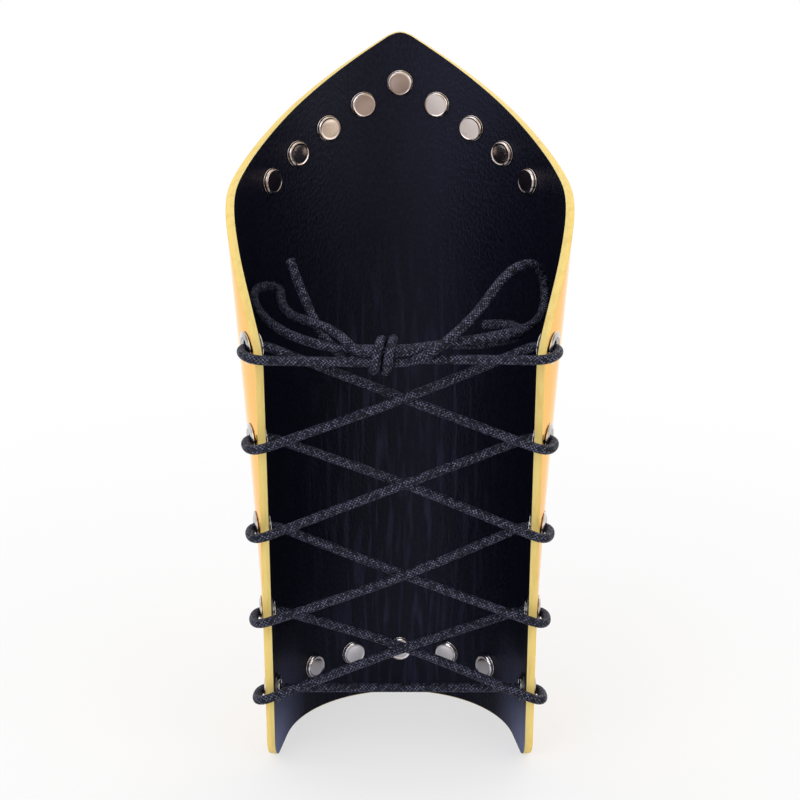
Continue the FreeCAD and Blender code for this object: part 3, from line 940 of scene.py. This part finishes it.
def scratch_group():
    """Hairline scratches along and across a surface, on a given map."""
    tree, g, given, out = new_group(
        "hairlines", [("Map", "Vector", None), ("Scale", "Float", 300.0)], ["Line"])
    lines = []
    for stretch in ((1.0, 0.035, 1.0), (0.05, 1.0, 1.0)):
        drawn = g.noise(g.vector("MULTIPLY", given["Map"], stretch), given["Scale"], detail=2.0)
        lines.append(g.spread(drawn, 0.66, 0.72))
    g.link(g.math("MAXIMUM", lines[0], lines[1]), out["Line"])
    return tree


GROUPS = {"handling": handling_group(), "hairlines": scratch_group()}


def new_material(name):
    material = bpy.data.materials.new(name)
    material.use_nodes = True
    return material, Graph(material.node_tree), material.node_tree.nodes["Principled BSDF"]


def use(graph, name, **values):
    node = graph.tree.nodes.new("ShaderNodeGroup")
    node.node_tree = GROUPS[name]
    for label, value in values.items():
        graph.feed(node.inputs[label], value)
    return node.outputs


def mirror_gold():
    """Mirror film on the board: warm gold, softly rippled along the length, lightly handled."""
    material, g, shader = new_material("mirror_gold")
    flat = g.flat_map()
    marks = use(g, "handling", Scale=38.0, Amount=0.6)
    lines = use(g, "hairlines", Map=flat, Scale=700.0)["Line"]
    tone = g.noise(g.vector("MULTIPLY", flat, (1.0, 0.25, 1.0)), 28.0, detail=2.0)
    face = g.mix(g.spread(tone, 0.35, 0.65), (0.91, 0.590, 0.215), (0.955, 0.650, 0.260))
    g.link(g.mix(g.math("MULTIPLY", lines, 0.07), face, (0.95, 0.72, 0.40)), shader.inputs["Base Color"])
    shader.inputs["Metallic"].default_value = 1.0
    shader.inputs["Specular Tint"].default_value = (1.0, 0.72, 0.42, 1.0)
    rough = g.math("MULTIPLY_ADD", marks["Smudge"], 0.06, 0.13)
    g.link(g.math("MULTIPLY_ADD", lines, 0.04, rough), shader.inputs["Roughness"])
    ripple = g.noise(g.vector("MULTIPLY", flat, (1.0, 0.28, 1.0)), 26.0, detail=1.0)
    g.link(g.bump(ripple, 0.5, 0.8 * MM), shader.inputs["Normal"])
    shader.inputs["Coat Weight"].default_value = 0.3
    shader.inputs["Coat Roughness"].default_value = 0.08
    return material


def edge_paint(name, light, deep):
    """Pale gold paint on the cut edges, brushed on by hand."""
    material, g, shader = new_material(name)
    place = g.place()
    brushed = g.noise(g.vector("MULTIPLY", place, (1.0, 1.0, 0.12)), 500.0, detail=3.0)
    thin = g.spread(g.noise(place, 90.0, detail=4.0), 0.52, 0.75)
    cover = g.math("MULTIPLY_ADD", thin, -0.30, g.spread(brushed, 0.22, 0.52))
    g.link(g.mix(cover, deep, light), shader.inputs["Base Color"])
    g.link(g.blend(brushed, 0.42, 0.55), shader.inputs["Roughness"])
    g.link(g.bump(brushed, 0.35, 0.12 * MM), shader.inputs["Normal"])
    return material


def lining_skin():
    """Thin black lining: fine grain all over, upright wrinkles where the roll is tightest, and a painted
    sheen low on the flanks.
    """
    material, g, shader = new_material("black_lining")
    flat = g.flat_map()
    marks = use(g, "handling", Scale=55.0, Amount=0.6)
    drawn = g.noise(
        g.vector("MULTIPLY", flat, (1.0, 0.12, 1.0)), 400.0, detail=1.5, roughness=0.45, distortion=0.4)
    line = g.spread(drawn, 0.49, 0.67)
    spots = g.split(flat)
    middle = g.spread(g.math("ABSOLUTE", spots[0]), 44 * MM, 10 * MM)
    low = g.spread(spots[1], 175 * MM, 110 * MM)
    share = g.math("MULTIPLY_ADD", g.math("MULTIPLY", middle, low), 0.94, 0.06)
    wrinkle = g.math("MULTIPLY", line, share)
    grain = g.noise(g.vector("MULTIPLY", flat, (1.0, 0.55, 1.0)), 1150.0, detail=3.0)
    pebble = g.spread(grain, 0.44, 0.62)
    skin = g.mix(pebble, (0.0034, 0.0035, 0.0088), (0.0062, 0.0063, 0.0140))
    skin = g.mix(wrinkle, skin, (0.0200, 0.0195, 0.0440))
    # Painted sheen: towards the foot the flanks are lifted to a pale blue, in streaks along the
    # wrinkles. It stands in for light caught at a grazing angle.
    outer = g.spread(g.math("ABSOLUTE", spots[0]), 44 * MM, 74 * MM)
    foot = g.spread(spots[1], 34 * MM, 5 * MM)
    painted_sheen = g.blend(drawn, 0.55, 1.0)
    painted_sheen = g.math("MULTIPLY", painted_sheen, g.math("MULTIPLY", outer, foot))
    skin = g.mix(painted_sheen, skin, (0.165, 0.195, 0.400))
    skin = g.mix(g.math("MULTIPLY", marks["Dust"], 0.3), skin, (0.08, 0.08, 0.10))
    g.link(skin, shader.inputs["Base Color"])
    rough = g.math("MULTIPLY_ADD", marks["Smudge"], -0.08, 0.38)
    g.link(g.math("MULTIPLY_ADD", wrinkle, -0.06, rough), shader.inputs["Roughness"])
    shader.inputs["Specular IOR Level"].default_value = 0.25
    shader.inputs["Specular Tint"].default_value = (0.64, 0.69, 1.0, 1.0)
    height = g.math("MULTIPLY_ADD", wrinkle, 0.9, g.math("MULTIPLY", pebble, 0.40))
    g.link(g.bump(height, 0.55, 0.30 * MM), shader.inputs["Normal"])
    return material


def nickel(name, bright, dull, rough):
    """Polished nickel plating, duller here and there, with faint smudges and a few hairlines."""
    material, g, shader = new_material(name)
    place = g.place()
    marks = use(g, "handling", Scale=240.0, Amount=0.7)
    lines = use(g, "hairlines", Map=place, Scale=900.0)["Line"]
    plating = g.spread(g.noise(place, 55.0, detail=1.0), 0.40, 0.60)
    tone = g.math("MAXIMUM", plating, g.math("MULTIPLY", marks["Smudge"], 0.6))
    g.link(g.mix(tone, bright, dull), shader.inputs["Base Color"])
    shader.inputs["Metallic"].default_value = 1.0
    worn = g.math("MULTIPLY_ADD", marks["Smudge"], 0.14, rough)
    g.link(g.math("MULTIPLY_ADD", lines, 0.10, worn), shader.inputs["Roughness"])
    return material


def waxed_braid():
    """Round waxed braid: each crossing shows the strand on top, and some crowns carry a painted glint, a
    light fleck in the colour.
    """
    material, g, shader = new_material("waxed_braid")
    spots = g.split(g.node("UVMap", uv_map="braid_map").outputs[0])
    turns = g.math("DIVIDE", spots[1], TURN_LENGTH)
    ridges, counts = [], []
    for operation in ("ADD", "SUBTRACT"):
        line = g.math("MULTIPLY", g.math(operation, spots[0], turns), float(CARRIERS))
        share = g.math("MULTIPLY_ADD", g.math("FRACT", line), 2.0, -1.0)
        ridges.append(g.math("SUBTRACT", 1.0, g.math("MULTIPLY", share, share)))
        counts.append(g.math("FLOOR", line))
    turned = g.math("PINGPONG", g.math("ADD", counts[0], counts[1]), 1.0)
    height = g.blend(turned, ridges[0], ridges[1])
    cell = g.node("CombineXYZ")
    g.link(counts[0], cell.inputs[0])
    g.link(counts[1], cell.inputs[1])
    chance = g.node("TexWhiteNoise", noise_dimensions="2D")
    g.link(cell.outputs[0], chance.inputs["Vector"])
    fibre = g.noise(g.place(), 2400.0, detail=2.0)
    # Painted glints: light flecks painted into the colour on some strand crowns, where the roughness is
    # also lower.
    crown = g.spread(g.math("MULTIPLY_ADD", fibre, 0.5, height), 1.06, 1.24)
    painted_glint = g.math("MULTIPLY", crown, g.spread(chance.outputs["Value"], 0.15, 0.95, 0.08, 1.0))
    g.link(g.mix(painted_glint, (0.0030, 0.0035, 0.0082), (0.180, 0.188, 0.285)), shader.inputs["Base Color"])
    g.link(g.blend(painted_glint, 0.46, 0.32), shader.inputs["Roughness"])
    shader.inputs["Specular IOR Level"].default_value = 0.17
    shader.inputs["Specular Tint"].default_value = (0.78, 0.82, 1.0, 1.0)
    g.link(g.bump(g.math("MULTIPLY_ADD", fibre, 0.3, height), 0.6, 0.25 * MM), shader.inputs["Normal"])
    return material


# Studio
CAMERA_PLACE = Vector((0.0, 718.7, 386.5)) * MM
CAMERA_PITCH = math.radians(19.84)
CAMERA_LENS = 99.6
CAMERA_SENSOR = 36.0
FLOOR_RADIUS = 0.5
FLOOR_SIDES = 128

# Square lamps that face the middle of the guard: place and width in metres, power in watts
LAMPS = [
    ("key_lamp", (0.75, 1.05, 0.95), 0.9, 4.2),
    ("fill_lamp", (-1.05, 0.80, 0.60), 0.9, 2.4),
    ("face_lamp", (-0.55, -1.15, 0.80), 0.9, 2.6),
    ("top_lamp", (0.15, 0.0, 1.35), 0.9, 2.2)]


def set_camera():
    """The laced side faces the camera, seen a little from above."""
    data = bpy.data.cameras.new("studio_camera")
    data.lens = CAMERA_LENS
    data.sensor_width = CAMERA_SENSOR
    camera = bpy.data.objects.new("studio_camera", data)
    camera.location = CAMERA_PLACE
    camera.rotation_euler = (math.pi / 2 - CAMERA_PITCH, 0.0, math.pi)
    scene.collection.objects.link(camera)
    scene.camera = camera


def backdrop(g, colour):
    node = g.node("Background")
    g.feed(node.inputs["Color"], colour)
    return node.outputs[0]


def choose_for(g, share, others, chosen):
    """The chosen shader where share is 1, and the others where it is 0."""
    node = g.node("MixShader")
    g.link(share, node.inputs[0])
    g.link(others, node.inputs[1])
    g.link(chosen, node.inputs[2])
    return node.outputs[0]


def make_floor():
    """Pale round floor that fades to white away from the guard, where the camera looks at it."""
    bpy.ops.object.select_all(action="DESELECT")
    bpy.ops.mesh.primitive_circle_add(vertices=FLOOR_SIDES, radius=FLOOR_RADIUS, fill_type="NGON")
    floor = bpy.context.object
    floor.name = "studio_floor"
    material, g, shader = new_material("pale_floor")
    shader.inputs["Base Color"].default_value = (0.93, 0.93, 0.93, 1.0)
    shader.inputs["Roughness"].default_value = 0.9
    shader.inputs["Specular IOR Level"].default_value = 0.1
    path = g.node("LightPath")
    reach = g.vector("LENGTH", g.place(), output=1)
    seen = g.math("MULTIPLY", g.spread(reach, 0.07, 0.38, 0.60, 1.0), path.outputs["Is Camera Ray"])
    mirrored = g.math("MULTIPLY", g.spread(reach, 0.06, 0.28), path.outputs["Is Glossy Ray"])
    look = choose_for(g, seen, shader.outputs[0], g.node("Emission").outputs[0])
    look = choose_for(g, mirrored, look, g.node("BsdfTransparent").outputs[0])
    g.link(look, material.node_tree.nodes["Material Output"].inputs["Surface"])
    floor.data.materials.append(material)


def daylight(g, up):
    """Even pale light that grows a little towards the ceiling."""
    return g.ramp(g.math("MULTIPLY_ADD", up, 0.5, 0.5), [
        (0.40, (0.54, 0.54, 0.54)), (0.55, (0.60, 0.60, 0.61)), (0.80, (0.70, 0.70, 0.72)),
        (1.0, (0.74, 0.74, 0.76))])


def near_to(g, value, middle, reach, core):
    """Mask that is full within the core of a middle value and fades out at its reach."""
    return g.spread(g.math("ABSOLUTE", g.math("SUBTRACT", value, middle)), reach, core)


def mirrored_room(g, towards, spots):
    """Soft uprights, brightest in front, warm on one side and brown behind, with dark panels."""
    around = g.math("ARCTAN2", spots[0], g.math("MULTIPLY", spots[1], -1.0))
    turned = g.math("ABSOLUTE", around)
    band = g.math("MULTIPLY_ADD", g.math("SINE", g.math("MULTIPLY_ADD", around, 4.0, 0.7)), 0.5, 0.5)
    room = g.ramp(band, [(0.0, (0.89, 0.89, 0.90)), (1.0, (0.99, 0.99, 0.99))])
    room = g.mix(g.spread(around, math.radians(-15), math.radians(-85)), room, (0.95, 0.85, 0.68))
    front = g.spread(turned, math.radians(75), math.radians(5))
    room = g.mix(g.math("MULTIPLY", front, 0.8), room, (1.22, 1.22, 1.20))
    behind = g.spread(g.vector("DOT_PRODUCT", towards, (-0.30, 0.95, 0.0), output=1), 0.80, 0.95)
    level = g.spread(g.math("ABSOLUTE", spots[2]), 0.55, 0.30)
    room = g.mix(g.math("MULTIPLY", behind, level), room, (0.47, 0.38, 0.33))
    ahead = g.spread(turned, math.radians(20), math.radians(12))
    beside = near_to(g, turned, math.radians(78), math.radians(17), math.radians(8))
    panels = g.math("MULTIPLY", g.math("MAXIMUM", ahead, beside), near_to(g, spots[2], 0.13, 0.15, 0.09))
    return g.mix(panels, room, (0.10, 0.10, 0.13))


def make_world():
    """Even pale daylight, a white background, and soft lights and darks for the metal to mirror."""
    world = bpy.data.worlds.new("studio_world")
    world.use_nodes = True
    scene.world = world
    g = Graph(world.node_tree)
    towards = g.node("TexCoord").outputs["Generated"]
    spots = g.split(towards)
    path = g.node("LightPath")
    shiny = g.math("MAXIMUM", path.outputs["Is Glossy Ray"], path.outputs["Is Transmission Ray"])
    lit = backdrop(g, daylight(g, spots[2]))
    light = choose_for(g, shiny, lit, backdrop(g, mirrored_room(g, towards, spots)))
    light = choose_for(g, path.outputs["Is Camera Ray"], light, backdrop(g, (1.0, 1.0, 1.0, 1.0)))
    g.link(light, world.node_tree.nodes["World Output"].inputs["Surface"])


def make_lamps():
    aim = Vector((0.0, 0.0, HEIGHT / 2))
    for name, place, width, power in LAMPS:
        data = bpy.data.lights.new(name, "AREA")
        data.shape = "SQUARE"
        data.size = width
        data.energy = power
        lamp = bpy.data.objects.new(name, data)
        lamp.location = place
        lamp.rotation_mode = "QUATERNION"
        lamp.rotation_quaternion = (aim - Vector(place)).to_track_quat("-Z", "Y")
        scene.collection.objects.link(lamp)


def make_shell():
    """Board with its mirror-gold face and painted edge."""
    paint = edge_paint("board_edge_paint", (0.98, 0.72, 0.21), (0.86, 0.59, 0.15))
    shell = rolled_sheet("gold_shell", 0.0, BOARD, 0.0, True, [mirror_gold(), paint])
    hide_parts("outer_shell")


def make_lining():
    """Black lining, glued inside the board, its edge painted with the board's."""
    paint = edge_paint("lining_edge_paint", (0.90, 0.70, 0.23), (0.76, 0.56, 0.16))
    inside = rolled_sheet("black_lining", -BOARD, LINING, LINING_FOOT, False, [lining_skin(), paint])
    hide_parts("inner_lining")


def make_fittings():
    """Rivets and eyelets; the rivet caps are one nickel in four copies by row and side, with painted
    shade, painted light and painted reflection.
    """
    # Caps outside: the elbow row gets the nickel painted darker and cooler than the wrist row, a painted
    # shade.
    cool = nickel("shaded_cool_nickel", (0.48, 0.465, 0.49), (0.37, 0.355, 0.375), 0.07)
    warm = nickel("warm_nickel", (0.70, 0.67, 0.61), (0.58, 0.54, 0.47), 0.08)
    # Elbow caps inside: nickel painted pinkish brown, a painted reflection.
    brown = nickel("reflection_brown_nickel", (0.72, 0.64, 0.61), (0.46, 0.39, 0.37), 0.10)
    # Wrist caps inside: nickel painted near white, a painted light on caps that sit in the guard's
    # shade.
    pale = nickel("lit_pale_nickel", (0.97, 0.94, 0.99), (0.84, 0.80, 0.84), 0.10)
    make_rivets("elbow", cool, brown)
    make_rivets("wrist", warm, pale)
    make_eyelets(
        nickel("eyelet_nickel", (0.66, 0.65, 0.65), (0.48, 0.46, 0.45), 0.12),
        nickel("dark_washer", (0.16, 0.16, 0.17), (0.10, 0.10, 0.10), 0.30))


scene.view_settings.view_transform = "Standard"
set_camera()
make_lace(waxed_braid())
make_shell()
make_lining()
make_fittings()
make_floor()
make_world()
make_lamps()
